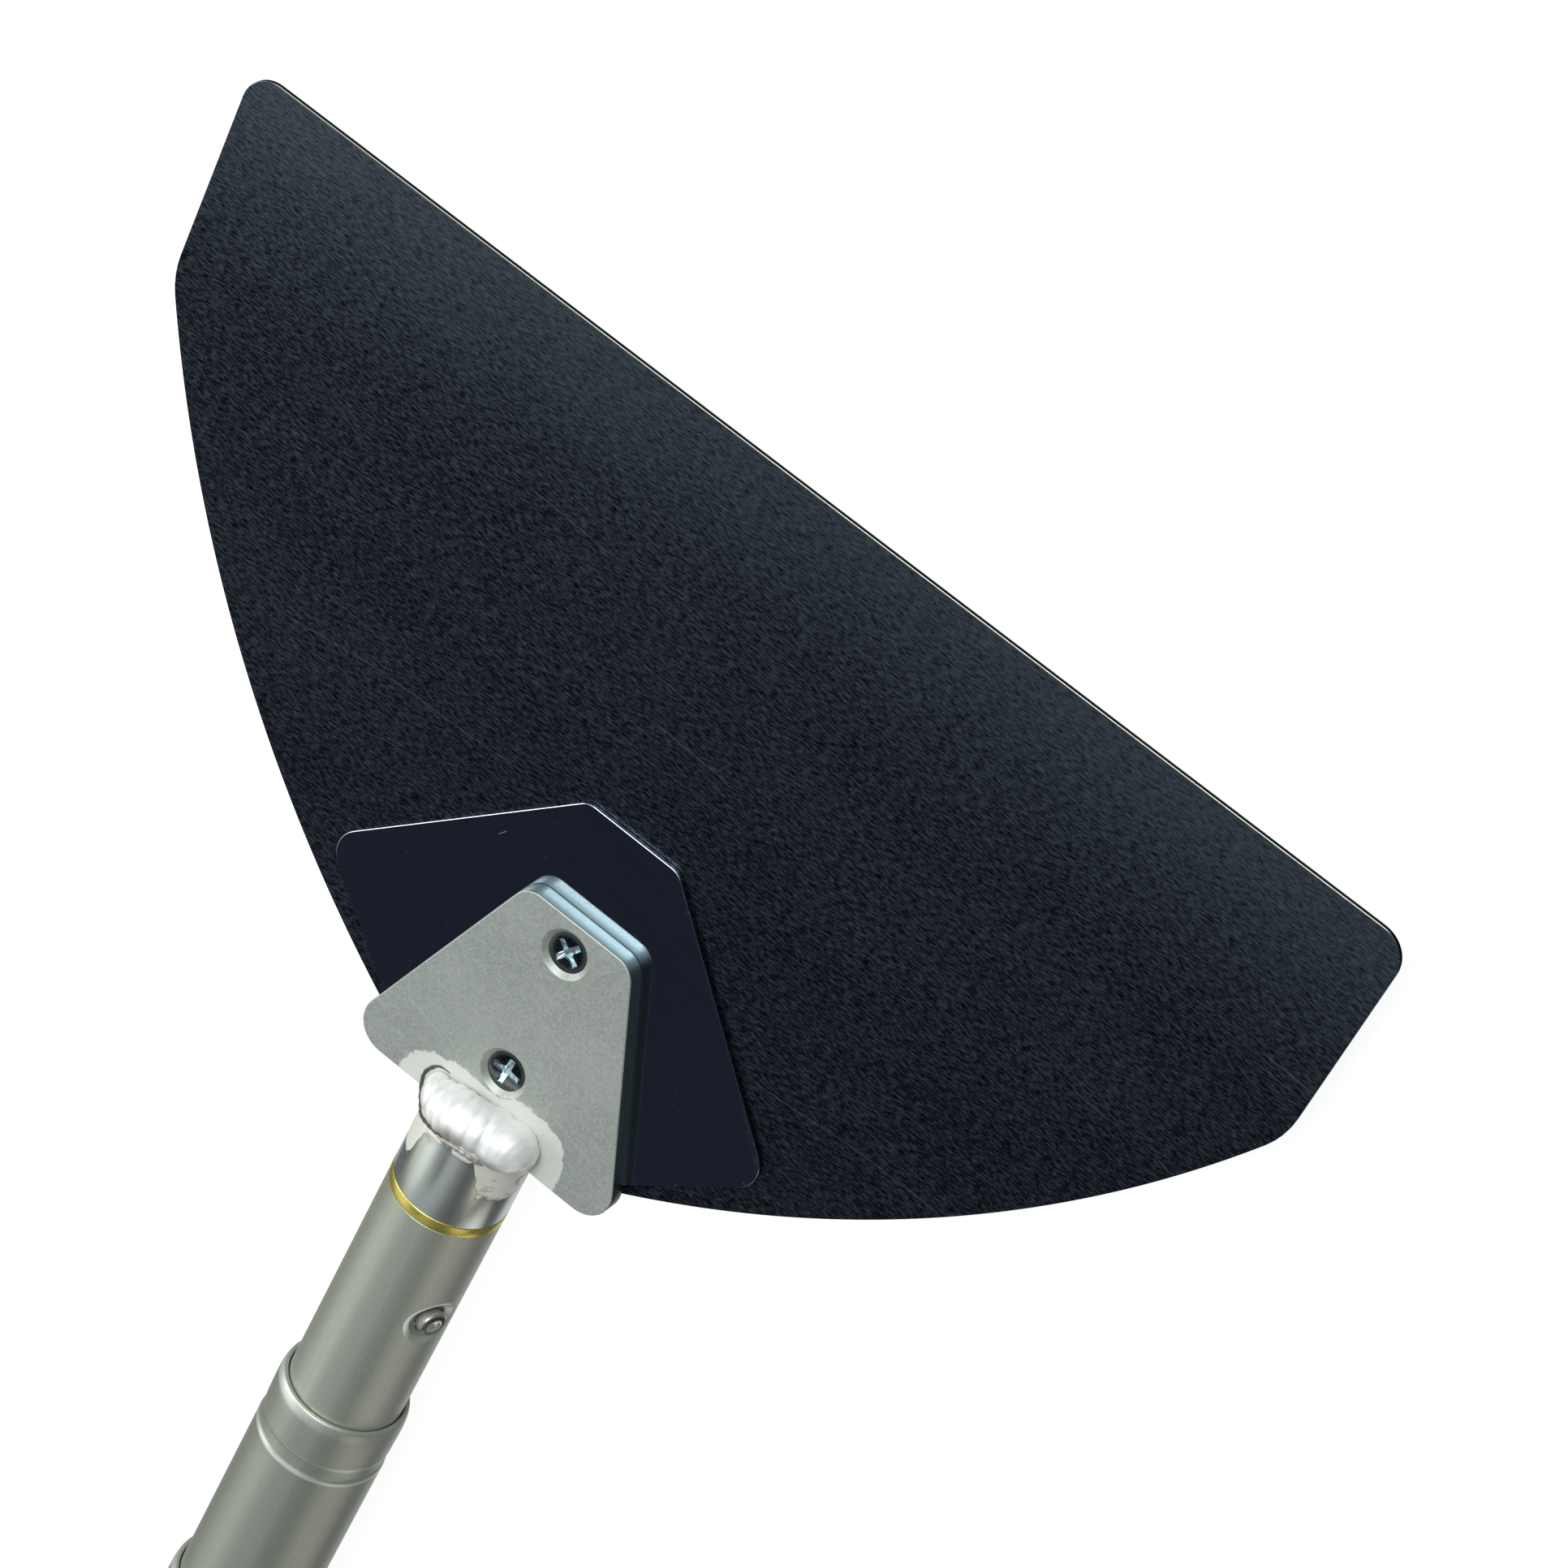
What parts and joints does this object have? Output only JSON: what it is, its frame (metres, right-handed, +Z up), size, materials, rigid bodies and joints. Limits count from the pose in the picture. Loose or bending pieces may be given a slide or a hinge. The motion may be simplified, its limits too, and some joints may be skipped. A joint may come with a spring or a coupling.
{
  "type": "beach sand scoop",
  "caption": "Fan-shaped dark sheet-metal blade bolted to a welded bracket on a telescopic aluminium pole with internal twist locks, a snap button and a foam grip.",
  "frame": {"origin": "on the ground under the middle of the collapsed tool as it lies flat", "axes": "+Y along the pole from the grip to the blade's front edge, +Z up out of the blade's upper face, +X along the blade's front edge on the snap button's side"},
  "size_m": [0.2686, 0.905, 0.035],
  "materials": {
    "blade_steel": "dark brushed, grain along the front edge",
    "stiffener_steel": "dark, smooth and mirror-like",
    "bracket_aluminium": "satin, finely scratched",
    "screw_steel": "dark and shiny",
    "zinc_steel": "zinc plated",
    "weld_metal": "bright rippled weld bead",
    "neck_aluminium": "turned and polished",
    "brass": "polished",
    "tube_aluminium": "matt bead-blasted",
    "button_steel": "polished spring steel",
    "lock_plastic": "moulded nylon",
    "grip_foam": "closed-cell foam",
    "cap_rubber": "moulded rubber"
  },
  "bodies": {
    "grip_section": {"bottom_tube": "tube_aluminium", "foam_grip": "grip_foam", "end_cap": "cap_rubber"},
    "lower_collet": {"lower_lock_collet": "lock_plastic"},
    "lower_cone": {"lower_lock_cone": "lock_plastic"},
    "middle_section": {"middle_tube": "tube_aluminium", "lower_lock_plug": "lock_plastic", "lower_lock_stud": "zinc_steel", "lower_lock_stop_nut": "zinc_steel"},
    "upper_collet": {"upper_lock_collet": "lock_plastic"},
    "upper_cone": {"upper_lock_cone": "lock_plastic"},
    "head_section": {"top_tube": "tube_aluminium", "upper_lock_plug": "lock_plastic", "upper_lock_stud": "zinc_steel", "upper_lock_stop_nut": "zinc_steel", "neck": "neck_aluminium", "brass_ring": "brass", "upper_weld": "weld_metal", "lower_weld": "weld_metal", "bracket_plate": "bracket_aluminium", "stiffener_plate": "stiffener_steel", "blade": "blade_steel", "front_screw": "screw_steel", "rear_screw": "screw_steel", "front_washer": "zinc_steel", "rear_washer": "zinc_steel", "front_lock_nut": "zinc_steel", "rear_lock_nut": "zinc_steel", "button_spring_clip": "button_steel"},
    "snap_button": {"snap_button": "button_steel"}
  },
  "joints": [
    {"name": "lower_slide", "type": "slide", "parent": "grip_section", "child": "lower_collet", "axis": [0, 1, 0], "range_m": [0, 0.44]},
    {"name": "lower_twist", "type": "hinge", "parent": "lower_collet", "child": "middle_section", "pos_m": [0, -0.3595, 0.0175], "axis": [0, 1, 0], "range_deg": [0, 180]},
    {"name": "lower_cone_draw", "type": "slide", "parent": "lower_collet", "child": "lower_cone", "axis": [0, -1, 0], "range_m": [0, 0.0015]},
    {"name": "upper_slide", "type": "slide", "parent": "middle_section", "child": "upper_collet", "axis": [0, 1, 0], "range_m": [0, 0.43]},
    {"name": "upper_twist", "type": "hinge", "parent": "upper_collet", "child": "head_section", "pos_m": [0, -0.2825, 0.0175], "axis": [0, 1, 0], "range_deg": [0, 180]},
    {"name": "upper_cone_draw", "type": "slide", "parent": "upper_collet", "child": "upper_cone", "axis": [0, -1, 0], "range_m": [0, 0.0015]},
    {"name": "button_press", "type": "slide", "parent": "head_section", "child": "snap_button", "axis": [-0.9205, 0, -0.3907], "range_m": [0, 0.0032], "stiffness_N_per_m": 900, "springref_m": -0.002, "deforming": ["button_spring_clip"]}
  ],
  "couplings": [
    {"joint": "lower_cone_draw", "follows": "lower_twist", "m_per_rad": 0.00047746},
    {"joint": "upper_cone_draw", "follows": "upper_twist", "m_per_rad": 0.00047746}
  ]
}
